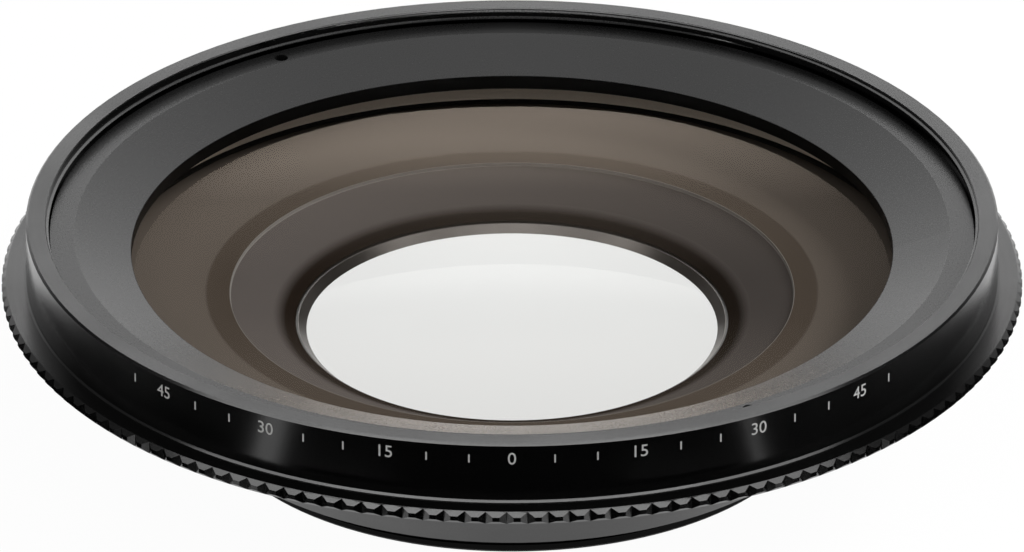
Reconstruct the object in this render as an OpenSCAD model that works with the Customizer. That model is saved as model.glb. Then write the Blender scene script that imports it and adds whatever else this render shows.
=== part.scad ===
// Wide-angle conversion lens, standing on its rear mount thread.
// A wide negative front element sits in a conical housing, behind a dished retaining ring
// and a plain bezel. A cemented rear doublet sits in its own cell above the mount thread.
// The rear end of the mount thread is z = 0 and the optical axis is +Z, towards the subject.

/* [Mount ring] */
// Major diameter of the male mount thread
mount_thread_d = 62; // [56:0.25:68]
// Length of the mount thread
mount_thread_l = 2.05; // [1.8:0.05:3]
// Step from the thread out to the shoulder that ends it
shoulder_w = 1.4; // [1.2:0.1:3]
// Height of the shoulder
shoulder_h = 0.4; // [0.3:0.05:0.9]
// Step from the thread in to the neck's bore
spigot_step = 0.5; // [0.4:0.05:0.7]
// Length of the spigot that screws into the neck
spigot_l = 2; // [1.8:0.1:2.4]
// Wall of the spigot
spigot_wall = 1.35; // [1.2:0.05:1.6]
// Bevel at the start of the mount thread
mount_bevel = 0.3; // [0.2:0.05:0.5]
// Width of the relief groove between the thread and the shoulder
mount_relief_w = 0.4; // [0.35:0.01:0.5]
// Depth of that groove
mount_relief_depth = 0.5; // [0.4:0.05:0.6]

/* [Set screws] */
// Number of radial set screws that lock the mount ring
set_screw_count = 3; // [2:1:4]
// Diameter of a set screw
set_screw_d = 1.4; // [1.2:0.1:1.6]
// Angle of the first set screw
set_screw_angle = 90; // [0:5:115]
// Length of a set screw
set_screw_l = 2.4; // [2:0.1:2.8]
// Width across the corners of its hexagon socket
set_screw_socket_d = 0.8; // [0.6:0.05:0.9]
// Depth of that socket
set_screw_socket_h = 0.7; // [0.5:0.1:1]

/* [Rear housing] */
// Step from the mount thread out to the foot of the cone
neck_w = 2.4; // [2:0.1:3]
// Height of the cone from the neck to the flange
cone_h = 10.3; // [8.6:0.1:11.6]
// Wall of the cone, measured square to the axis
cone_wall = 2.55; // [2.2:0.05:2.8]
// Thickness of the neck's inner lip
neck_lip_h = 1; // [0.8:0.1:1.4]
// Step from the knurl in to the flange's edge
flange_inset = 3.4; // [3:0.1:3.8]
// Width of the flange's underside
flange_w = 4.4; // [4:0.1:6.2]
// Thickness of the flange
flange_h = 1.5; // [0.8:0.1:1.8]
// Drop from the front element's rim to the top of the upstand
upstand_drop = 0.2; // [0.1:0.05:0.4]
// Wall of the upstand round the front element
upstand_wall = 3.48; // [3.1:0.05:3.8]
// Width of the seat under the light baffle and the front element
seat_w = 3.8; // [3.2:0.1:4.4]
// Drop from the flange to that seat
seat_drop = 1.18; // [1:0.02:1.36]

/* [Grip ring] */
// Diameter over the knurl
grip_d = 104; // [94:0.5:114]
// Height of the grip ring
grip_h = 1.34; // [1.2:0.02:1.9]
// Number of grooves in the knurl
groove_count = 154; // [140:1:168]
// Depth of a groove
groove_depth = 0.42; // [0.3:0.02:0.8]
// Share of the pitch that a groove takes
groove_share = 0.66; // [0.5:0.02:0.8]
// Angle of the first groove
groove_start = -90.6; // [-92:0.1:-89]
// Upper bevel of the knurl
grip_upper_bevel = 0.45; // [0.3:0.01:0.5]
// Lower bevel of the knurl
grip_lower_bevel = 0.41; // [0.3:0.01:0.7]

/* [Bezel] */
// Width of the ledge between the knurl and the bezel
ledge_w = 2.5; // [2.2:0.1:2.8]
// Height of the bezel
bezel_h = 6.5; // [5.8:0.05:7.2]
// Width of the rim, from the open filter thread to the outside
rim_w = 2.05; // [1.9:0.05:2.3]
// Bevel of the rim's outer edge
rim_bevel = 0.22; // [0.15:0.01:0.3]
// Bevel of the rim's inner edge
rim_inner_bevel = 0.1; // [0.08:0.02:0.2]
// Flare at the foot of the bezel
foot_flare = 0.2; // [0.1:0.02:0.3]
// Step from the filter thread in to the retaining ring's thread
ring_thread_step = 0.27; // [0.22:0.01:0.35]
// Step from that thread in to the thread on the upstand
upstand_thread_step = 0.93; // [0.8:0.01:1.1]
// Depth of the relief groove between the two threads
relief_depth = 0.5; // [0.4:0.05:0.6]
// Height of the relief groove
relief_h = 1.1; // [0.9:0.05:1.3]
// Height of the relief groove above the retaining ring's land
relief_lead = 0.15; // [0.1:0.01:0.2]

/* [Front retaining ring] */
// Width of the ring, from its thread to its opening
ring_w = 8.33; // [7.6:0.01:9.1]
// Width of the flat outer land
ring_land_w = 2.55; // [2.3:0.05:2.8]
// Drop of the dished face
ring_dish = 2.06; // [1.5:0.02:2.3]
// Height of the inner edge
ring_edge_h = 1.3; // [1.1:0.05:1.55]
// Bevel of the ring's outer edges
ring_bevel = 0.08; // [0.06:0.01:0.2]
// Diameter of a spanner hole
spanner_hole_d = 1.4; // [1.2:0.05:1.6]
// Step from the ring's edge in to the middle of a spanner hole
spanner_inset = 1.53; // [1.3:0.01:1.7]
// Depth of a spanner hole
spanner_hole_h = 1.6; // [1.2:0.1:2]
// Angle of the first spanner hole
spanner_hole_angle = 121.5; // [0:0.5:180]

/* [Front element] */
// Thickness of the front element's edge
front_edge_h = 2.95; // [2.3:0.05:3.4]
// Width of its flat front rim
front_rim_w = 3.6; // [3.2:0.1:4]
// Radius of the convex front surface
front_radius = 600; // [450:10:800]
// Width of its flat back, round the hollow
flat_back_w = 13.85; // [11.6:0.05:15.2]
// Radius of the hollow in its back
hollow_radius = 200; // [160:5:260]
// Bevel of its edges
front_bevel = 0.15; // [0.1:0.01:0.4]
// Thickness of the gasket between the front element and the baffle's flange
seat_gasket_h = 0.11; // [0.08:0.01:0.2]
// Width of that gasket
seat_gasket_w = 0.6; // [0.5:0.05:0.8]
// Thickness of the slip gasket under the retaining ring
slip_gasket_h = 0.3; // [0.25:0.05:0.4]

/* [Light baffle] */
// Thickness of the baffle
baffle_t = 0.8; // [0.6:0.05:0.9]
// Fall of its flange from the gasket to the edge of the funnel
baffle_fall = 0.17; // [0.1:0.01:0.25]
// Sharp step at the edge of the funnel
baffle_step = 0.3; // [0.2:0.05:0.4]
// Step from the rear cell's opening out to the foot of the funnel
throat_step = 0.3; // [0.2:0.05:0.4]
// Width of the funnel's foot
throat_foot_w = 0.6; // [0.5:0.05:0.8]
// Rise from the foot to the kink in the funnel
throat_rise = 0.9; // [0.8:0.05:1.1]
// Share of the funnel's width that lies inside the kink
throat_share = 0.35; // [0.3:0.01:0.4]

/* [Rear cell] */
// Depth of the cell's rear end inside the mount ring
cell_recess = 0.5; // [0.4:0.05:0.7]
// Wall of the cell
cell_wall = 1.5; // [1.35:0.05:1.7]
// Thickness of the cell's clamped flange
cell_flange_h = 1; // [0.8:0.05:1.2]
// Thickness of the spacing shim on that flange
shim_h = 0.2; // [0.1:0.05:0.3]
// Width of the front lip over the doublet
pupil_lip_w = 6.46; // [5.5:0.02:7.2]
// Height of that lip
pupil_lip_h = 0.75; // [0.6:0.01:1.5]
// Flare of the opening in the lip
pupil_flare = 0.8; // [0.15:0.05:1.8]
// Width of the flat front of the cell
cell_front_w = 3.1; // [2.7:0.1:4]
// Height of the straight outer wall above the doublet's edge
cell_shoulder_h = 0.6; // [0.4:0.05:0.8]

/* [Rear doublet] */
// Radius of the front surface of the crown
crown_radius = 160; // [144:2:200]
// Radius of the cemented surface
cement_radius = 200; // [180:5:260]
// Centre thickness of the crown
crown_centre_t = 5.65; // [5:0.05:6.6]
// Centre thickness of the flint
flint_centre_t = 2.3; // [2:0.05:2.6]
// Radius of the hollow rear surface
flint_radius = 400; // [360:10:500]
// Thickness of the cement
cement_t = 0.02; // [0.01:0.01:0.04]

/* [Rear retaining ring] */
// Step from the doublet's bore out to the ring's thread
rear_ring_step = 0.5; // [0.4:0.05:0.6]
// Width of the ring
rear_ring_w = 1.45; // [1.3:0.05:1.6]
// Height of the ring
rear_ring_h = 1.2; // [1:0.05:1.4]
// Bevel of its opening towards the rear
rear_ring_bevel = 0.7; // [0.5:0.05:0.9]
// Width of the two spanner slots
slot_w = 1.4; // [1.2:0.1:1.8]
// Depth of the spanner slots
slot_h = 0.6; // [0.4:0.05:0.8]
// Thickness of the slip washer under the ring
washer_h = 0.25; // [0.2:0.05:0.3]

/* [Clearances] */
// Radial clearance of the threads
thread_gap = 0.05; // [0.03:0.01:0.08]
// Radial clearance of an element in its bore
glass_gap = 0.12; // [0.08:0.01:0.15]
// Clearance between stacked faces
face_gap = 0.02; // [0.01:0.01:0.03]
// Gap between the baffle and the rear cell, and under the retaining ring's thread
baffle_gap = 0.15; // [0.1:0.05:0.2]

/* [Hidden] */
$fn = 180;
lens_fn = 360;
over = 1;
hair = 0.1;

// Height of a spherical surface below its apex at a distance from the axis
function sag(radius, dist) = radius - sqrt(radius * radius - dist * dist);

// Mount ring and neck
mount_r = mount_thread_d / 2;
shoulder_r = mount_r + shoulder_w;
neck_r = mount_r + neck_w;
neck_bore_r = mount_r - spigot_step;
spigot_r = neck_bore_r - thread_gap;
mount_bore_r = spigot_r - spigot_wall;
neck_z = mount_thread_l + shoulder_h;
spigot_top_z = neck_z + spigot_l;
set_screw_z = neck_z + spigot_l / 2;
set_screw_tip_r = spigot_r + face_gap;

// Rear cell, from its bore out to its flange
cell_r = mount_bore_r - thread_gap;
cell_bore_r = cell_r - cell_wall;
cell_flange_r = neck_bore_r - glass_gap;
cell_flange_z = spigot_top_z + face_gap;
shim_z = cell_flange_z + cell_flange_h;
lip_z = shim_z + shim_h + face_gap;
lip_top_z = lip_z + neck_lip_h;
lip_bore_r = cell_r + glass_gap;

// Rear retaining ring, flush with the cell's end, and the doublet stacked on it
rear_thread_r = cell_bore_r + rear_ring_step;
rear_ring_r = rear_thread_r - thread_gap;
rear_opening_r = rear_ring_r - rear_ring_w;
rear_ring_top_z = cell_recess + rear_ring_h;
washer_z = rear_ring_top_z + face_gap;
washer_top_z = washer_z + washer_h;
doublet_r = cell_bore_r - glass_gap;
flint_edge_z = washer_top_z + face_gap;
flint_rear_z = flint_edge_z + sag(flint_radius, doublet_r);
flint_apex_z = flint_rear_z + flint_centre_t;
cement_z = flint_apex_z + cement_t;
crown_apex_z = cement_z + crown_centre_t;

// Front lip of the cell, which the crown bears on
pupil_r = doublet_r - pupil_lip_w;
pupil_z = crown_apex_z + face_gap - sag(crown_radius, pupil_r);
cell_top_z = pupil_z + pupil_lip_h;
cell_front_r = pupil_r + pupil_flare + cell_front_w;
cell_wall_top_z = crown_apex_z - sag(crown_radius, cell_bore_r) + cell_shoulder_h;

// Housing, from the grip ring's edge in to the cone
grip_r = grip_d / 2;
flange_r = grip_r - flange_inset;
cone_top_r = flange_r - flange_w;
cone_top_z = neck_z + cone_h;
flange_z = cone_top_z + flange_h;
cone_slope = (cone_top_r - neck_r) / cone_h;

// Grip ring on the flange, and the bezel on the grip ring
groove_root_r = grip_r - groove_depth;
groove_pitch = 360 / groove_count;
grip_z = flange_z + face_gap;
grip_top_z = grip_z + grip_h;
bezel_r = grip_r - ledge_w;
bezel_z = grip_top_z + face_gap;
rim_z = bezel_z + bezel_h;
filter_bore_r = bezel_r - rim_w;
relief_r = filter_bore_r + relief_depth;
ring_bore_r = filter_bore_r - ring_thread_step;
bezel_bore_r = ring_bore_r - upstand_thread_step;

// Upstand, and inside it the baffle's flange on the seat, a gasket and the front element
upstand_r = bezel_bore_r - thread_gap;
grip_bore_r = upstand_r + glass_gap;
front_bore_r = upstand_r - upstand_wall;
front_r = front_bore_r - glass_gap;
front_flat_r = front_r - front_bevel;
seat_r = front_bore_r - seat_w;
seat_z = flange_z - seat_drop;
baffle_floor_z = seat_z + face_gap;
baffle_z = baffle_floor_z + baffle_t;
seat_gasket_r = front_flat_r - seat_gasket_w;
seat_gasket_z = baffle_z + face_gap;
front_z = seat_gasket_z + seat_gasket_h + face_gap;
front_rim_z = front_z + front_edge_h;
upstand_top_z = front_rim_z - upstand_drop;
front_clear_r = front_r - front_rim_w;
front_apex_z = front_rim_z + sag(front_radius, front_clear_r);
hollow_r = front_r - flat_back_w;
hollow_apex_z = front_z + sag(hollow_radius, hollow_r);

// Retaining ring on its slip gasket
slip_gasket_z = front_rim_z + face_gap;
ring_z = slip_gasket_z + slip_gasket_h + face_gap;
ring_edge_z = ring_z + ring_edge_h;
ring_land_z = ring_edge_z + ring_dish;
ring_r = ring_bore_r - thread_gap;
ring_land_r = ring_r - ring_land_w;
ring_opening_r = ring_r - ring_w;
spanner_r = ring_r - spanner_inset;
bezel_step_z = ring_z - baffle_gap;
relief_top_z = ring_land_z + relief_lead;
relief_z = relief_top_z - relief_h;

// Light baffle between the front element and the rear cell
baffle_edge_z = baffle_z - baffle_fall;
baffle_step_z = baffle_edge_z - baffle_step;
throat_foot_r = pupil_r + pupil_flare + throat_step;
throat_foot_z = cell_top_z + baffle_gap;
throat_r = throat_foot_r + throat_share * (hollow_r - throat_foot_r);
throat_z = throat_foot_z + throat_rise;

black = [0.07, 0.07, 0.075];
soft_black = [0.1, 0.09, 0.085];
rubber_black = [0.05, 0.05, 0.05];
brown_black = [0.2, 0.17, 0.15];
steel = [0.55, 0.55, 0.56];
glass = [0.8, 0.86, 0.88, 0.35];

// Flat ring between two radii
module washer(inner, outer, height) {
    difference() {
        cylinder(r = outer, h = height);
        translate([0, 0, -over])
            cylinder(r = inner, h = height + 2 * over);
    }
}

// Ball whose top or bottom lies at a height on the axis
module ball_below(radius, top) {
    translate([0, 0, top - radius])
        sphere(r = radius, $fn = lens_fn);
}

// Copies of a child at even steps round the axis
module around(count) {
    for (step = [0 : count - 1])
        rotate(step * 360 / count)
            children();
}

// Plain outer ring with the open filter thread at its rim and the retaining ring's thread below
module front_bezel() {
    color(black)
        rotate_extrude()
            polygon([
                [bezel_bore_r, bezel_z],
                [bezel_r + foot_flare, bezel_z],
                [bezel_r, bezel_z + foot_flare],
                [bezel_r, rim_z - rim_bevel],
                [bezel_r - rim_bevel, rim_z],
                [filter_bore_r + rim_inner_bevel, rim_z],
                [filter_bore_r, rim_z - rim_inner_bevel],
                [filter_bore_r, relief_top_z],
                [relief_r, relief_top_z],
                [relief_r, relief_z],
                [ring_bore_r, relief_z],
                [ring_bore_r, bezel_step_z],
                [bezel_bore_r, bezel_step_z]
            ]);
}

// Dished ring that screws down on the front element, with two holes for a pin spanner
module front_retaining_ring() {
    color(black)
        difference() {
            rotate_extrude()
                polygon([
                    [ring_opening_r, ring_z],
                    [ring_r - ring_bevel, ring_z],
                    [ring_r, ring_z + ring_bevel],
                    [ring_r, ring_land_z - ring_bevel],
                    [ring_r - ring_bevel, ring_land_z],
                    [ring_land_r, ring_land_z],
                    [ring_opening_r, ring_edge_z]
                ]);
            rotate(spanner_hole_angle)
                around(2)
                    translate([spanner_r, 0, ring_land_z - spanner_hole_h])
                        cylinder(d = spanner_hole_d, h = spanner_hole_h + over);
        }
}

// Thin ring that lets the retaining ring turn on the glass
module front_slip_gasket() {
    color(rubber_black)
        translate([0, 0, slip_gasket_z])
            washer(front_clear_r + glass_gap, front_flat_r, slip_gasket_h);
}

// Wide meniscus: a shallow convex front with a flat rim, and a round hollow in a flat back
module front_element() {
    color(glass)
        difference() {
            union() {
                rotate_extrude()
                    polygon([
                        [0, front_z],
                        [front_flat_r, front_z],
                        [front_r, front_z + front_bevel],
                        [front_r, front_rim_z - front_bevel],
                        [front_flat_r, front_rim_z],
                        [0, front_rim_z]
                    ]);
                intersection() {
                    ball_below(front_radius, front_apex_z);
                    translate([0, 0, front_z])
                        cylinder(r = front_clear_r, h = front_apex_z);
                }
            }
            ball_below(hollow_radius, hollow_apex_z);
        }
}

// Thin gasket between the front element and the baffle's flange
module front_seat_gasket() {
    color(rubber_black)
        translate([0, 0, seat_gasket_z])
            washer(seat_gasket_r, front_flat_r, seat_gasket_h);
}

// Outline of the knurl: a flat land, then a V-groove, for each pitch
function knurl_outline() = [
    for (step = [0 : groove_count - 1], corner = [0 : 2])
        let (
            middle = groove_start + step * groove_pitch,
            turn = middle + (corner - 1) * groove_pitch * groove_share / 2,
            reach = corner == 1 ? groove_root_r : grip_r
        )
        [reach * cos(turn), reach * sin(turn)]
];

// Hand grip clamped between the housing's flange and the bezel
module knurled_grip_ring() {
    color(black)
        intersection() {
            translate([0, 0, grip_z - over])
                linear_extrude(height = grip_h + 2 * over)
                    polygon(knurl_outline());
            rotate_extrude()
                polygon([
                    [grip_bore_r, grip_z],
                    [grip_r - grip_lower_bevel, grip_z],
                    [grip_r + hair, grip_z + grip_lower_bevel + hair],
                    [grip_r + hair, grip_top_z - grip_upper_bevel - hair],
                    [grip_r - grip_upper_bevel, grip_top_z],
                    [grip_bore_r, grip_top_z]
                ]);
        }
}

// Conical shell with the neck below, and the flange, seat and upstand above
module rear_housing() {
    inner_foot_r = neck_r - cone_wall;
    color(black)
        difference() {
            rotate_extrude()
                polygon([
                    [neck_bore_r, neck_z],
                    [neck_r, neck_z],
                    [cone_top_r, cone_top_z],
                    [flange_r, cone_top_z],
                    [flange_r, flange_z],
                    [upstand_r, flange_z],
                    [upstand_r, upstand_top_z],
                    [front_bore_r, upstand_top_z],
                    [front_bore_r, seat_z],
                    [seat_r, seat_z],
                    [seat_r, neck_z + (seat_r - inner_foot_r) / cone_slope],
                    [inner_foot_r + (lip_top_z - neck_z) * cone_slope, lip_top_z],
                    [lip_bore_r, lip_top_z],
                    [lip_bore_r, lip_z],
                    [neck_bore_r, lip_z]
                ]);
            rotate(set_screw_angle)
                around(set_screw_count)
                    translate([set_screw_tip_r, 0, set_screw_z])
                        rotate([0, 90, 0])
                            cylinder(d = set_screw_d + 2 * thread_gap, h = cone_top_r);
        }
}

// Blackened insert that hides the housing's inside, with a flat flange and a shallow funnel
module light_baffle() {
    color(brown_black)
        rotate_extrude()
            polygon([
                [front_r, baffle_floor_z],
                [front_r, baffle_z],
                [seat_gasket_r, baffle_z],
                [hollow_r, baffle_edge_z],
                [hollow_r, baffle_step_z],
                [throat_r, throat_z],
                [throat_foot_r, throat_foot_z],
                [throat_foot_r + throat_foot_w, throat_foot_z],
                [throat_r, throat_z - baffle_t],
                [hollow_r, baffle_step_z - baffle_t],
                [seat_r - glass_gap, baffle_floor_z]
            ]);
}

// Cell of the rear doublet: a spherical seat behind the front lip, and a clamped flange outside
module rear_cell() {
    color(soft_black)
        difference() {
            rotate_extrude()
                polygon([
                    [0, cell_recess],
                    [cell_r, cell_recess],
                    [cell_r, cell_flange_z],
                    [cell_flange_r, cell_flange_z],
                    [cell_flange_r, shim_z],
                    [cell_r, shim_z],
                    [cell_r, cell_wall_top_z],
                    [cell_front_r, cell_top_z],
                    [0, cell_top_z]
                ]);
            intersection() {
                ball_below(crown_radius, crown_apex_z + face_gap);
                cylinder(r = cell_bore_r, h = cell_top_z + over);
            }
            translate([0, 0, pupil_z - over])
                cylinder(r = pupil_r, h = over + face_gap);
            translate([0, 0, pupil_z])
                cylinder(r1 = pupil_r, r2 = pupil_r + 2 * pupil_flare, h = 2 * pupil_lip_h);
            cylinder(r = rear_thread_r, h = washer_top_z);
        }
}

// Thin ring that sets the distance between the rear doublet and the front element
module cell_shim() {
    color(steel)
        translate([0, 0, shim_z + face_gap / 2])
            washer(cell_r + glass_gap, cell_flange_r, shim_h);
}

// Front glass of the cemented doublet
module rear_crown_element() {
    color(glass)
        intersection() {
            cylinder(r = doublet_r, h = crown_apex_z + over);
            ball_below(crown_radius, crown_apex_z);
            translate([0, 0, cement_z + cement_radius])
                sphere(r = cement_radius, $fn = lens_fn);
        }
}

// Rear glass of the cemented doublet, hollow on both sides
module rear_flint_element() {
    edge_top_z = flint_apex_z + sag(cement_radius, doublet_r);
    color(glass)
        difference() {
            translate([0, 0, flint_edge_z])
                cylinder(r = doublet_r, h = edge_top_z - flint_edge_z);
            translate([0, 0, flint_apex_z + cement_radius])
                sphere(r = cement_radius, $fn = lens_fn);
            ball_below(flint_radius, flint_rear_z);
        }
}

// Thin washer between the rear doublet and its retaining ring
module rear_slip_washer() {
    color(rubber_black)
        translate([0, 0, washer_z])
            washer(rear_opening_r, doublet_r, washer_h);
}

// Ring that holds the rear doublet, bevelled at its opening and slotted for a spanner
module rear_retaining_ring() {
    color(black)
        difference() {
            rotate_extrude()
                polygon([
                    [rear_opening_r + rear_ring_bevel, cell_recess],
                    [rear_ring_r, cell_recess],
                    [rear_ring_r, rear_ring_top_z],
                    [rear_opening_r, rear_ring_top_z]
                ]);
            translate([-rear_ring_r - over, -slot_w / 2, cell_recess - over])
                cube([2 * (rear_ring_r + over), slot_w, slot_h + over]);
        }
}

// Threaded ring that screws into the front thread of another lens
module mount_ring() {
    color(black)
        rotate_extrude()
            polygon([
                [mount_bore_r, 0],
                [mount_r - mount_bevel, 0],
                [mount_r, mount_bevel],
                [mount_r, mount_thread_l - mount_relief_w],
                [mount_r - mount_relief_depth, mount_thread_l - mount_relief_w],
                [mount_r - mount_relief_depth, mount_thread_l],
                [shoulder_r, mount_thread_l],
                [shoulder_r, neck_z - face_gap],
                [spigot_r, neck_z - face_gap],
                [spigot_r, spigot_top_z],
                [mount_bore_r, spigot_top_z]
            ]);
}

// Headless screws that lock the mount ring in the neck
module mount_set_screws() {
    color(steel)
        rotate(set_screw_angle)
            around(set_screw_count)
                translate([set_screw_tip_r, 0, set_screw_z])
                    rotate([0, 90, 0])
                        difference() {
                            cylinder(d = set_screw_d, h = set_screw_l);
                            translate([0, 0, set_screw_l - set_screw_socket_h])
                                cylinder(d = set_screw_socket_d, h = set_screw_l, $fn = 6);
                        }
}

front_bezel();
front_retaining_ring();
front_slip_gasket();
front_element();
front_seat_gasket();
knurled_grip_ring();
rear_housing();
light_baffle();
rear_cell();
cell_shim();
rear_crown_element();
rear_flint_element();
rear_slip_washer();
rear_retaining_ring();
mount_ring();
mount_set_screws();
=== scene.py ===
import math

import bpy
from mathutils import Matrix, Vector


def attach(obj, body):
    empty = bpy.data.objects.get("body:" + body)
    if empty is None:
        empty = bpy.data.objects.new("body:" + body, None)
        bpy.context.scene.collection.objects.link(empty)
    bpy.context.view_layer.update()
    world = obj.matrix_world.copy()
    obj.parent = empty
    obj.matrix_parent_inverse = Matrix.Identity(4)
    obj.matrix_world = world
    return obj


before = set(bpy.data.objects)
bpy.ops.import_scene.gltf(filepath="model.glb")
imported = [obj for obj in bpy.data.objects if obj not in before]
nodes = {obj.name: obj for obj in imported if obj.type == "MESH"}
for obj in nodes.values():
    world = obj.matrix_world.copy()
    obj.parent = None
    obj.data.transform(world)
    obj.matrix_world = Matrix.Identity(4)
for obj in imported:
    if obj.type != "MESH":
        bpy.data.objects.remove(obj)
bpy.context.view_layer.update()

MM = 0.001
MM_IN_A_METRE = 1000.0
LENS = "lens_body"

# Radii and heights of the lens that the pieces and the finishes refer to, in millimetres.
BEZEL_R = 49.5
FILTER_BORE_R = 47.45
MOUNT_R = 31.0
LAND_R = 44.58
RING_BORE_R = 38.8
FRONT_EDGE_R = 42.6
DOUBLET_R = 27.43
CEMENT_Z = 8.0
FLINT_REAR_Z = 3.4
LIP_R = 21.85
LIP_Z = 9.4
BAND_R = 31.2
FUNNEL_R = 28.75
KINK_R = 23.7

# The index of each glass, and the share of a bare face's reflection that its coating leaves.
# The front coating does less the flatter the light falls on it, and nothing in the end.
FRONT_INDEX = 1.5
FRONT_COATING = 0.26
BARE = 1.0
CROWN_INDEX = 1.75
CROWN_COATING = 0.08
FLINT_INDEX = 1.6
FLINT_COATING = 0.7

# Screw threads: the pitch, how deep a crest's foot is sunk, half the width of its top, the steps
# in a turn, and the steps over which the crest rises from the wall at either end.
THREAD_PITCH = 0.75
CREST_SINK = 0.04
CREST_HALF = 0.04
TURN_STEPS = 240
RUN_OUT = 16

# The bezel's scale: its height, the size of its numbers and strokes, and half the paint's thickness.
SCALE_Z = 20.46
NUMBER_H = 1.37
FONT_RATIO = 1.38
STROKE_H = 0.9
STROKE_W = 0.16
STROKE_BEVEL = 0.004
MARK_T = 0.015

# The floor in metres and its drop, and the black cards on it that are painted shadow for the metal to
# mirror: the shadow's circle, and where near and far cards begin and end.
FLOOR_SIZE = 8.0
FLOOR_DROP = 0.02
SHADE_Y = 40.0
SHADE_R = 90.0
NEAR_SHADOW_CARD_R = 56.0
MID_SHADOW_CARD_R = 72.0
FAR_SHADOW_CARD_R = 300.0
SHADOW_CARD_Z = 0.4
SHADOW_CARD_STEPS = 40

# The middle of the floor's painted pool of light, brightest through the glass, behind the axis.
PAINTED_LIGHT_POOL_Y = 26.0

# The room: its bright strip and its dim patch at the back, and what it gives to matte faces.
ROOM_GLOW = 3.8
ROOM_DIM = 0.7
ROOM_FILL = 0.24
LAMP_DISTANCE = 1.4

# The camera that the photograph's ellipses give.
VIEW_LIFT = math.radians(27.38)
VIEW_DISTANCE = 2457.0
VIEW_TARGET_Z = 15.47
VIEW_LENS = 847.6


class Value:
    """A shader socket that can stand in a sum."""

    def __init__(self, finish, socket):
        self.finish = finish
        self.socket = socket

    def worked(self, operation, first, second=0.0):
        made = self.finish.node("ShaderNodeMath", {"operation": operation}, {0: first, 1: second})
        return made.out(0)

    def __add__(self, other):
        return self.worked("ADD", self, other)

    __radd__ = __add__

    def __sub__(self, other):
        return self.worked("SUBTRACT", self, other)

    def __rsub__(self, other):
        return self.worked("SUBTRACT", other, self)

    def __mul__(self, other):
        return self.worked("MULTIPLY", self, other)

    __rmul__ = __mul__

    def __truediv__(self, other):
        return self.worked("DIVIDE", self, other)

    def __gt__(self, other):
        return self.worked("GREATER_THAN", self, other)

    def __lt__(self, other):
        return self.worked("LESS_THAN", self, other)

    def __abs__(self):
        return self.worked("ABSOLUTE", self)

    def root(self):
        return self.worked("SQRT", self)

    def or_more(self, other):
        return self.worked("MAXIMUM", self, other)


class Made:
    """A node that has just been added, with its outputs as values."""

    def __init__(self, finish, node):
        self.finish = finish
        self.node = node

    def out(self, key):
        return Value(self.finish, self.node.outputs[key])


class Finish:
    """A material's, or the world's, node tree."""

    def __init__(self, name, owner=None):
        self.owner = owner or bpy.data.materials.new(name)
        self.owner.use_nodes = True
        self.tree = self.owner.node_tree
        self.tree.nodes.clear()

    def node(self, kind, settings=None, inputs=None):
        made = self.tree.nodes.new(kind)
        for key, setting in (settings or {}).items():
            setattr(made, key, setting)
        for key, given in (inputs or {}).items():
            if isinstance(given, Value):
                self.tree.links.new(given.socket, made.inputs[key])
            else:
                made.inputs[key].default_value = given
        return Made(self, made)

    def place(self):
        return self.node("ShaderNodeTexCoord").out("Object")

    def parts(self, vector):
        split = self.node("ShaderNodeSeparateXYZ", {}, {0: vector})
        return split.out(0), split.out(1), split.out(2)

    def joined(self, x, y, z):
        return self.node("ShaderNodeCombineXYZ", {}, {0: x, 1: y, 2: z}).out(0)

    def noise(self, vector, scale, detail=2.0, roughness=0.5):
        inputs = {"Vector": vector, "Scale": scale, "Detail": detail, "Roughness": roughness}
        return self.node("ShaderNodeTexNoise", {}, inputs).out(0)

    def spread(self, value, low, high, start=0.0, end=1.0):
        inputs = {0: value, 1: low, 2: high, 3: start, 4: end}
        return self.node("ShaderNodeMapRange", {"clamp": True}, inputs).out(0)

    def window(self, value, low, full, fading, high):
        """One from full to fading, and nothing below low or above high."""
        return self.spread(value, low, full) * self.spread(value, fading, high, 1.0, 0.0)

    def blend(self, share, first, second):
        settings = {"data_type": "RGBA", "blend_type": "MIX"}
        return self.node("ShaderNodeMix", settings, {0: share, 6: first, 7: second}).out(2)

    def bump(self, height, strength, distance):
        inputs = {"Height": height, "Strength": strength, "Distance": distance}
        return self.node("ShaderNodeBump", {}, inputs).out(0)

    def reach(self):
        """The distance from the axis, in millimetres."""
        x, y = self.parts(self.place())[:2]
        return (x * x + y * y).root() * MM_IN_A_METRE

    def height(self):
        """The height above the lens's foot, in millimetres."""
        return self.parts(self.place())[2] * MM_IN_A_METRE

    def lathe_lines(self, scale):
        return self.noise(self.joined(self.reach(), self.height(), 0.0), scale, 3.0, 0.7)

    def shader(self, kind, inputs):
        return self.node(kind, {}, inputs).out(0)

    def mixed(self, share, first, second):
        return self.node("ShaderNodeMixShader", {}, {0: share, 1: first, 2: second}).out(0)

    def surface(self, shader):
        kind = "ShaderNodeOutputMaterial"
        if isinstance(self.owner, bpy.types.World):
            kind = "ShaderNodeOutputWorld"
        self.node(kind, {}, {"Surface": shader})
        return self.owner


def rgb(red, green, blue):
    return (red, green, blue, 1.0)


def grey(tone):
    return rgb(tone, tone, tone)


WHITE = grey(1.0)

# Anodised blacks: the darker and the paler tone, then roughness, index and gleam.
SATIN_BLACK = (grey(0.001), grey(0.0018), 0.2, 1.75)
CONE_BLACK = (grey(0.001), grey(0.002), 0.34, 1.5)
DULL_BLACK = (grey(0.0006), grey(0.001), 0.4, 1.4, 0.2)
# The crests' paler tone is a painted highlight, over their stronger real gleam.
CREST_PAINTED_HIGHLIGHT = (grey(0.03), grey(0.06), 0.26, 1.9)
DISH_BLACK = (grey(0.006), grey(0.01), 0.28, 1.72)
LAND_BLACK = (grey(0.006), grey(0.01), 0.28, 1.42)


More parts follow.
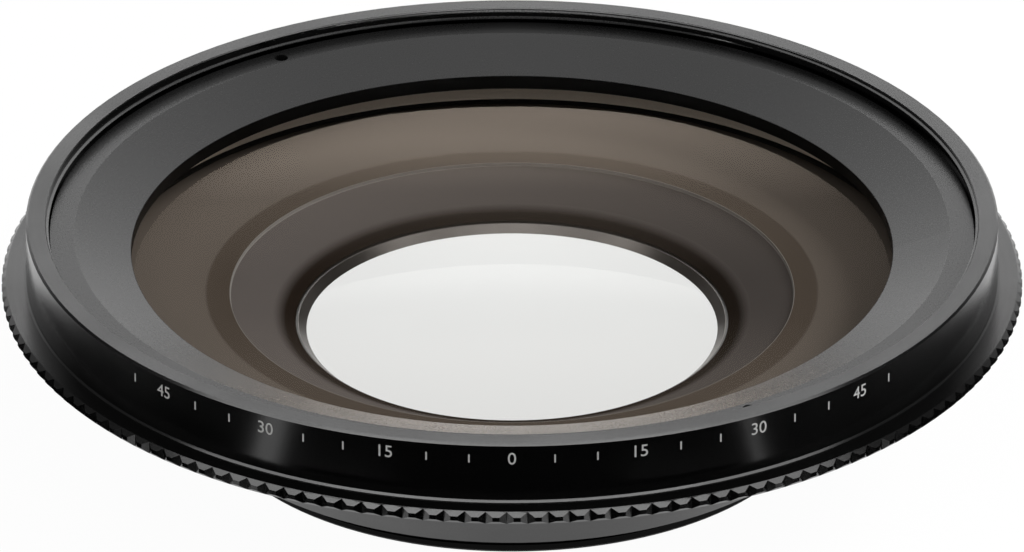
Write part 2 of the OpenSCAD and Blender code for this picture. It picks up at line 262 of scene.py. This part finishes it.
def anodised_skin(made, dark, pale, rough, ior, gleam=0.5):
    """Black anodised aluminium: fine lathe lines, a blasted grain and faint cloudiness."""
    lines = made.lathe_lines(14.0)
    specks = made.noise(made.place(), 5200.0, 2.0, 0.6)
    clouds = made.noise(made.place(), 70.0, 3.0, 0.55)
    gloss = rough + (clouds - 0.5) * 0.1 + (lines - 0.5) * 0.08 + (specks - 0.5) * 0.1
    relief = lines * 0.6 + specks * 0.4
    return made.shader("ShaderNodeBsdfPrincipled", {
        "Base Color": made.blend(made.spread(clouds * 0.6 + specks * 0.4, 0.3, 0.7), dark, pale),
        "Roughness": gloss,
        "Normal": made.bump(relief, 0.06, 0.00002),
        "IOR": ior,
        "Specular IOR Level": gleam,
    })


def anodised(name, skin):
    made = Finish(name)
    return made.surface(anodised_skin(made, *skin))


def dished_black(name):
    """Satin dish of the front retaining ring, duller on its land and on the wall of its bore."""
    made = Finish(name)
    reach = made.reach()
    dish = anodised_skin(made, *DISH_BLACK)
    land = anodised_skin(made, *LAND_BLACK)
    wall = anodised_skin(made, *DULL_BLACK)
    face = made.mixed(reach > LAND_R, dish, land)
    return made.surface(made.mixed(reach < RING_BORE_R + 0.04, face, wall))


def baffle_paint(name):
    """Matte brown-black paint, with painted light that makes the funnel's slope greyer, painted shade
    that makes it darkest at its foot, and a painted highlight along its edge.
    """
    made = Finish(name)
    reach = made.reach()
    clouds = made.noise(made.place(), 60.0, 3.0, 0.55)
    specks = made.noise(made.place(), 4200.0, 2.0, 0.6)
    flange = made.blend(clouds, rgb(0.075, 0.062, 0.052), rgb(0.087, 0.073, 0.061))
    band = made.blend(clouds, rgb(0.044, 0.034, 0.026), rgb(0.051, 0.040, 0.031))
    # Painted light: the funnel's upper slope is paler where light falls on it.
    slope = made.blend(clouds, rgb(0.060, 0.053, 0.049), rgb(0.068, 0.059, 0.055))
    # Painted shade: the funnel's foot is darkest where less light reaches down the funnel.
    foot = made.blend(clouds, rgb(0.005, 0.003, 0.002), rgb(0.008, 0.005, 0.003))
    funnel = made.blend(made.spread(reach, KINK_R - 0.6, KINK_R + 0.6), foot, slope)
    flat = made.blend(made.spread(reach, BAND_R - 0.15, BAND_R + 0.15), band, flange)
    colour = made.blend(made.spread(reach, FUNNEL_R - 0.05, FUNNEL_R + 0.05), funnel, flat)
    # Painted highlight: a thin bright ring along the funnel's edge.
    painted_highlight_ring = (reach > FUNNEL_R - 0.09) * (reach < FUNNEL_R + 0.05)
    return made.surface(made.shader("ShaderNodeBsdfPrincipled", {
        "Base Color": made.blend(painted_highlight_ring, colour, rgb(0.15, 0.14, 0.13)),
        "Roughness": 0.6 + (specks - 0.5) * 0.2,
        "IOR": 1.4,
        "Specular IOR Level": 0.0,
    }))


def cell_black(name):
    """Brown-black anodised cell whose flared lip has been turned bright."""
    made = Finish(name)
    lines = made.lathe_lines(22.0)
    clouds = made.noise(made.place(), 70.0, 3.0, 0.55)
    lip = (made.reach() < LIP_R) * (made.height() > LIP_Z)
    dull = made.blend(clouds, rgb(0.0035, 0.003, 0.0025), rgb(0.006, 0.005, 0.004))
    bright = made.blend(lines, rgb(0.11, 0.10, 0.093), rgb(0.16, 0.148, 0.138))
    return made.surface(made.shader("ShaderNodeBsdfPrincipled", {
        "Base Color": made.blend(lip, dull, bright),
        "Metallic": lip,
        "Roughness": 0.24 + lines * 0.12,
        "Normal": made.bump(lines, 0.1, 0.00002),
        "IOR": 1.5,
    }))


def rubber(name):
    """Matte black rubber or fibre with a fine pitted skin."""
    made = Finish(name)
    pits = made.noise(made.place(), 2600.0, 3.0, 0.6)
    clouds = made.noise(made.place(), 120.0, 2.0, 0.5)
    return made.surface(made.shader("ShaderNodeBsdfPrincipled", {
        "Base Color": made.blend(clouds, grey(0.004), rgb(0.012, 0.011, 0.010)),
        "Roughness": 0.62 + pits * 0.2,
        "Normal": made.bump(pits, 0.2, 0.00003),
        "IOR": 1.5,
        "Specular IOR Level": 0.3,
    }))


def turned_steel(name):
    """Plain steel with the marks of the lathe."""
    made = Finish(name)
    lines = made.lathe_lines(22.0)
    clouds = made.noise(made.place(), 300.0, 2.0, 0.5)
    return made.surface(made.shader("ShaderNodeBsdfPrincipled", {
        "Base Color": made.blend(clouds, rgb(0.42, 0.42, 0.43), rgb(0.55, 0.55, 0.56)),
        "Metallic": 1.0,
        "Roughness": 0.26 + lines * 0.2,
        "Normal": made.bump(lines, 0.2, 0.00002),
    }))


def paint(name):
    """Filled white marks, a little uneven where the paint has settled."""
    made = Finish(name)
    flecks = made.noise(made.place(), 1400.0, 3.0, 0.6)
    return made.surface(made.shader("ShaderNodeBsdfPrincipled", {
        "Base Color": made.blend(flecks, rgb(0.36, 0.36, 0.35), rgb(0.52, 0.52, 0.51)),
        "Roughness": 0.45 + flecks * 0.2,
        "Normal": made.bump(flecks, 0.1, 0.00002),
    }))


def coated(made, ior, coating, grazing, tint, body):
    """Coated glass that mirrors on its outer side alone, over what its body lets through."""
    smears = made.noise(made.place(), 160.0, 3.0, 0.6)
    mirror = made.shader("ShaderNodeBsdfGlossy", {
        "Color": tint,
        "Roughness": made.spread(smears, 0.45, 0.8, 0.0, 0.05),
    })
    bare = made.node("ShaderNodeFresnel", {}, {"IOR": ior}).out(0)
    left = made.spread(bare, 0.15, 0.5, coating, grazing)
    behind = made.node("ShaderNodeNewGeometry").out("Backfacing")
    return made.mixed(bare * left * (1.0 - behind), body, mirror)


def clear(made):
    """Glass that lets light straight through."""
    return made.shader("ShaderNodeBsdfTransparent", {"Color": rgb(0.985, 0.985, 0.982)})


def ground(made, dark, pale):
    """Finely ground edge of a glass."""
    grit = made.noise(made.place(), 3000.0, 3.0, 0.6)
    return made.shader("ShaderNodeBsdfPrincipled", {
        "Base Color": made.blend(grit, dark, pale),
        "Roughness": 0.6 + grit * 0.2,
        "Normal": made.bump(grit, 0.15, 0.00002),
    })


def front_glass(name):
    """Front glass with a warm coating and a ground olive edge."""
    made = Finish(name)
    body = coated(made, FRONT_INDEX, FRONT_COATING, BARE, rgb(1.0, 0.84, 0.70), clear(made))
    edge = ground(made, rgb(0.80, 0.69, 0.57), rgb(0.90, 0.79, 0.66))
    return made.surface(made.mixed(made.reach() > FRONT_EDGE_R - 0.1, body, edge))


def doublet(made, body):
    """A glass of the rear doublet, its ground edge blacked."""
    edge = ground(made, rgb(0.010, 0.010, 0.009), rgb(0.022, 0.021, 0.019))
    return made.surface(made.mixed(made.reach() > DOUBLET_R - 0.12, body, edge))


def crown_glass(name):
    """Front glass of the doublet: it bends light at its outer face, and not at the cement."""
    made = Finish(name)
    clouds = made.noise(made.place(), 40.0, 2.0, 0.5)
    bending = made.shader("ShaderNodeBsdfRefraction", {
        "Color": rgb(0.97, 0.975, 0.975),
        "Roughness": made.spread(clouds, 0.55, 0.8, 0.0, 0.02),
        "IOR": CROWN_INDEX,
    })
    face = coated(made, CROWN_INDEX, CROWN_COATING, CROWN_COATING, WHITE, bending)
    return doublet(made, made.mixed(made.height() < CEMENT_Z, face, clear(made)))


def flint_glass(name):
    """Rear glass of the doublet, coated behind."""
    made = Finish(name)
    face = coated(made, FLINT_INDEX, FLINT_COATING, FLINT_COATING, rgb(0.80, 0.86, 1.0), clear(made))
    return doublet(made, made.mixed(made.height() > FLINT_REAR_Z, face, clear(made)))


def wear(material, *names):
    for name in names:
        node = nodes[name]
        node.data.materials.clear()
        node.data.materials.append(material)


thread_black = anodised("thread_black", DULL_BLACK)
# The filter thread's crests carry a painted highlight in their paler tone.
crest_painted_highlight = anodised("crest_painted_highlight", CREST_PAINTED_HIGHLIGHT)
white_marks = paint("white_mark_paint")

wear(anodised("satin_black", SATIN_BLACK), "front_bezel", "knurled_grip_ring", "rear_retaining_ring")
wear(dished_black("dish_black"), "front_retaining_ring")
wear(anodised("cone_black", CONE_BLACK), "rear_housing")
wear(thread_black, "mount_ring")
wear(baffle_paint("baffle_black"), "light_baffle")
wear(cell_black("cell_black"), "rear_cell")
wear(rubber("gasket_rubber"), "front_slip_gasket", "front_seat_gasket", "rear_slip_washer")
wear(turned_steel("turned_steel"), "cell_shim", "mount_set_screws")
wear(front_glass("coated_front_glass"), "front_element")
wear(crown_glass("crown_glass"), "rear_crown_element")
wear(flint_glass("flint_glass"), "rear_flint_element")


def deselect():
    if bpy.context.object is not None and bpy.context.object.mode != "OBJECT":
        bpy.ops.object.mode_set(mode="OBJECT")
    bpy.ops.object.select_all(action="DESELECT")


def take(piece):
    deselect()
    piece.select_set(True)
    bpy.context.view_layer.objects.active = piece


def on_circle(reach, turn, height):
    """A place at a distance from the axis, an angle and a height, in metres."""
    return Vector((reach * math.cos(turn), reach * math.sin(turn), height)) * MM


def close_ends():
    """Fills the open ends of the wound piece that is active, and turns its faces outwards."""
    bpy.ops.object.mode_set(mode="EDIT")
    bpy.ops.mesh.select_all(action="DESELECT")
    bpy.ops.mesh.select_mode(type="EDGE")
    bpy.ops.mesh.select_non_manifold(extend=False)
    bpy.ops.mesh.fill()
    bpy.ops.mesh.select_all(action="SELECT")
    bpy.ops.mesh.normals_make_consistent(inside=False)
    bpy.ops.object.mode_set(mode="OBJECT")
    bpy.ops.object.shade_smooth_by_angle(angle=math.radians(30))


def thread(name, wall_r, crest_r, start_z, end_z, half_width, start_angle, material):
    """Crests of a screw thread: one profile wound up the wall, rising from it at both ends."""
    deselect()
    root_r = wall_r + math.copysign(CREST_SINK, wall_r - crest_r)
    bpy.ops.mesh.primitive_circle_add(vertices=4, radius=1.0, fill_type="NOTHING")
    piece = bpy.context.object
    piece.name = name
    corners = [
        (root_r, start_z - half_width),
        (crest_r, start_z - CREST_HALF),
        (crest_r, start_z + CREST_HALF),
        (root_r, start_z + half_width),
    ]
    for vertex, (reach, height) in zip(piece.data.vertices, corners):
        vertex.co = on_circle(reach, math.radians(start_angle), height)
    turns = (end_z - start_z) / THREAD_PITCH
    steps = round(TURN_STEPS * turns)
    winding = piece.modifiers.new("winding", "SCREW")
    winding.axis = "Z"
    winding.angle = 2 * math.pi * turns
    winding.screw_offset = THREAD_PITCH * turns * MM
    winding.steps = steps
    winding.render_steps = steps
    take(piece)
    bpy.ops.object.modifier_apply(modifier="winding")
    for index, vertex in enumerate(piece.data.vertices):
        step = index // len(corners)
        rise = min(1.0, (step + 0.5) / RUN_OUT, (steps - step + 0.5) / RUN_OUT)
        reach = vertex.co.xy.length / MM
        sunk = (root_r + (reach - root_r) * rise) / reach
        vertex.co.x *= sunk
        vertex.co.y *= sunk
    close_ends()
    piece.data.materials.append(material)
    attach(piece, LENS)


thread(
    "filter_thread_crests", wall_r=FILTER_BORE_R, crest_r=FILTER_BORE_R - 0.26,
    start_z=21.0, end_z=21.88, half_width=0.14, start_angle=56.0, material=crest_painted_highlight,
)
thread(
    "mount_thread_crests", wall_r=MOUNT_R, crest_r=MOUNT_R + 0.16,
    start_z=0.5, end_z=1.5, half_width=0.18, start_angle=60.0, material=thread_black,
)


def wrap(piece, degrees):
    """Lays a flat mark on the bezel's wall, its middle at an angle to the right of the front."""
    for vertex in piece.data.vertices:
        along, up, out = vertex.co / MM
        turn = math.radians(degrees - 90.0) + along / BEZEL_R
        vertex.co = on_circle(BEZEL_R + out, turn, SCALE_Z + up)


def number(degrees):
    deselect()
    bpy.ops.object.text_add()
    writing = bpy.context.object
    writing.data.body = str(abs(degrees))
    writing.data.size = NUMBER_H * FONT_RATIO * MM
    writing.data.align_x = "CENTER"
    writing.data.align_y = "CENTER"
    writing.data.extrude = MARK_T * MM
    writing.data.resolution_u = 4
    take(writing)
    bpy.ops.object.convert(target="MESH")
    piece = bpy.context.object
    wrap(piece, degrees)
    return piece


def stroke(degrees):
    deselect()
    bpy.ops.mesh.primitive_cube_add(size=1.0)
    piece = bpy.context.object
    for vertex in piece.data.vertices:
        x, y, z = vertex.co
        vertex.co = Vector((x * STROKE_W, y * STROKE_H, z * 2 * MARK_T)) * MM
    take(piece)
    bpy.ops.object.mode_set(mode="EDIT")
    bpy.ops.mesh.select_all(action="SELECT")
    bpy.ops.mesh.bevel(offset=STROKE_BEVEL * MM, segments=1)
    bpy.ops.object.mode_set(mode="OBJECT")
    wrap(piece, degrees)
    return piece


def marks(name, pieces):
    """Joins marks into one white piece on the bezel."""
    deselect()
    for piece in pieces:
        piece.select_set(True)
    bpy.context.view_layer.objects.active = pieces[0]
    bpy.ops.object.join()
    whole = bpy.context.object
    whole.name = name
    whole.data.materials.clear()
    whole.data.materials.append(white_marks)
    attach(whole, LENS)


# Plain numbers every fifteen degrees, with strokes between them.
marks("bezel_numbers", [number(turn) for turn in range(-45, 46, 15)])
marks("bezel_strokes", [stroke(turn) for turn in range(-50, 51, 5) if turn % 15])


def floor_finish():
    """Pale floor, white to the eye, to metal and to glass, that takes a shadow and is open below;
    painted shadow darkens it round the lens's foot in the metal, and a painted pool of light brightens
    it under the lens in the glass.
    """
    made = Finish("studio_floor")
    reach = made.reach()
    path = made.node("ShaderNodeLightPath")
    # In the metal the floor is darker round the lens's foot: a painted shadow.
    mirrored_with_painted_shadow = path.out("Is Glossy Ray") * made.spread(reach, 30.0, 75.0, 0.45, 1.0)
    # Through the glass the floor under the lens fades away from its bright middle: a painted pool of
    # light.
    x, y = made.parts(made.place())[:2]
    across = x * MM_IN_A_METRE
    back = y * MM_IN_A_METRE - PAINTED_LIGHT_POOL_Y
    painted_light_pool = made.spread((back * back + across * across).root(), 4.0, 50.0, 0.95, 0.76)
    through = path.out("Is Transmission Ray") * painted_light_pool.or_more(reach > MOUNT_R)
    white = (path.out("Is Camera Ray") * 0.97).or_more(through).or_more(mirrored_with_painted_shadow)
    plain = made.shader("ShaderNodeBsdfDiffuse", {"Color": grey(0.88)})
    glow = made.shader("ShaderNodeEmission", {"Color": WHITE, "Strength": 1.0})
    open_below = made.shader("ShaderNodeBsdfTransparent", {"Color": WHITE})
    below = made.node("ShaderNodeNewGeometry").out("Backfacing")
    return made.surface(made.mixed(below, made.mixed(white, plain, glow), open_below))


# Painted shadow: the black that the cards carry in the place of the lens's shadow on the floor.
def card_finish():
    made = Finish("painted_shadow_card")
    return made.surface(made.shader("ShaderNodeBsdfDiffuse", {"Color": grey(0.0015)}))


def floor():
    deselect()
    bpy.ops.mesh.primitive_plane_add(size=FLOOR_SIZE)
    piece = bpy.context.object
    piece.name = "floor"
    for vertex in piece.data.vertices:
        vertex.co.z = -FLOOR_DROP * MM
    piece.data.materials.append(floor_finish())


def shade_reach(degrees):
    """How far from the axis the shadow in front of the lens ends, at an angle from the front."""
    turn = math.radians(degrees)
    across = SHADE_Y * math.sin(turn)
    return SHADE_Y * math.cos(turn) + math.sqrt(SHADE_R ** 2 - across ** 2)


def card(name, start, end, inner, outer=None):
    """Black arc of painted shadow on the floor where the lens's shadow falls, seen only as a
    reflection in the metal.
    """
    deselect()
    bpy.ops.mesh.primitive_grid_add(x_subdivisions=SHADOW_CARD_STEPS, y_subdivisions=1, size=2.0)
    piece = bpy.context.object
    piece.name = name
    for vertex in piece.data.vertices:
        degrees = start + (end - start) * (vertex.co.x + 1.0) / 2.0
        far = outer or shade_reach(degrees)
        reach = inner + (far - inner) * (vertex.co.y + 1.0) / 2.0
        vertex.co = on_circle(reach, math.radians(degrees - 90.0), SHADOW_CARD_Z)
    piece.data.materials.append(painted_shadow_black)
    piece.visible_camera = False
    piece.visible_diffuse = False
    piece.visible_transmission = False
    piece.visible_shadow = False


def surroundings():
    """White room, dark at its sides, with a bright strip low at the back and a dim patch above it."""
    world = bpy.data.worlds.new("studio")
    bpy.context.scene.world = world
    made = Finish("studio", world)
    x, y, z = made.parts(made.node("ShaderNodeTexCoord").out("Generated"))
    back = y > 0.0
    glow = made.window(z, 0.2, 0.26, 0.35, 0.415) * made.spread(abs(x), 0.06, 0.2, 1.0, 0.0) * back
    dim = made.window(z, 0.42, 0.47, 0.495, 0.53) * made.spread(abs(x), 0.055, 0.075, 1.0, 0.0) * back
    sky = made.spread(z, 0.7, 0.9, 0.95, 0.7) + glow * ROOM_GLOW - dim * ROOM_DIM
    room = made.spread(y / (x * x + y * y).root(), 0.6, 0.97, 0.08, 1.0)
    path = made.node("ShaderNodeLightPath")
    seen = path.out("Is Camera Ray")
    shown = path.out("Is Glossy Ray").or_more(path.out("Is Transmission Ray"))
    strength = seen + (1.0 - seen) * (shown * sky * room + (1.0 - shown) * ROOM_FILL)
    made.surface(made.shader("ShaderNodeBackground", {"Color": WHITE, "Strength": strength}))


def softbox(name, lift, side, width, depth, radiance):
    """Soft lamp at a lift above the floor and an angle to the right of the front, in degrees."""
    light = bpy.data.lights.new(name, "AREA")
    light.shape = "RECTANGLE"
    light.size = width
    light.size_y = depth
    light.energy = radiance * math.pi * width * depth
    lamp = bpy.data.objects.new(name, light)
    bpy.context.scene.collection.objects.link(lamp)
    lift = math.radians(lift)
    side = math.radians(side)
    aim = Vector((math.sin(side) * math.cos(lift), -math.cos(side) * math.cos(lift), math.sin(lift)))
    lamp.location = aim * LAMP_DISTANCE
    lamp.rotation_euler = aim.to_track_quat("Z", "Y").to_euler()
    return lamp


def camera():
    view = bpy.data.cameras.new("photo_view")
    view.sensor_width = 36.0
    view.lens = VIEW_LENS
    view.clip_start = 0.1
    view.clip_end = 50.0
    eye = bpy.data.objects.new("photo_view", view)
    bpy.context.scene.collection.objects.link(eye)
    aim = Vector((0.0, -math.cos(VIEW_LIFT), math.sin(VIEW_LIFT)))
    eye.location = Vector((0.0, 0.0, VIEW_TARGET_Z * MM)) + aim * VIEW_DISTANCE * MM
    eye.rotation_euler = aim.to_track_quat("Z", "Y").to_euler()
    bpy.context.scene.camera = eye


floor()
painted_shadow_black = card_finish()
# The gaps between the arcs let the white floor show in the metal: painted highlights on the bezel's
# wall.
card("left_near_shadow_card", -100.0, -37.0, NEAR_SHADOW_CARD_R, MID_SHADOW_CARD_R)
card("front_near_shadow_card", -19.0, 19.0, NEAR_SHADOW_CARD_R, MID_SHADOW_CARD_R)
card("right_near_shadow_card", 37.0, 100.0, NEAR_SHADOW_CARD_R, MID_SHADOW_CARD_R)
card("left_end_shadow_card", -130.0, -100.0, NEAR_SHADOW_CARD_R)
card("right_end_shadow_card", 100.0, 130.0, NEAR_SHADOW_CARD_R)
card("left_shadow_card", -100.0, -44.2, MID_SHADOW_CARD_R)
card("front_shadow_card", -39.7, 41.2, MID_SHADOW_CARD_R, FAR_SHADOW_CARD_R)
card("right_shadow_card", 42.8, 100.0, MID_SHADOW_CARD_R)
surroundings()
softbox("key_softbox", lift=63.0, side=0.0, width=1.6, depth=0.3, radiance=3.3)
softbox("left_softbox", lift=50.0, side=-74.0, width=0.6, depth=0.4, radiance=2.2)
softbox("right_softbox", lift=50.0, side=74.0, width=0.6, depth=0.4, radiance=2.2)
back_lamp = softbox("window_softbox", lift=35.0, side=115.0, width=0.9, depth=0.6, radiance=15.0)
back_lamp.visible_glossy = False
camera()
bpy.context.scene.view_settings.view_transform = "Standard"
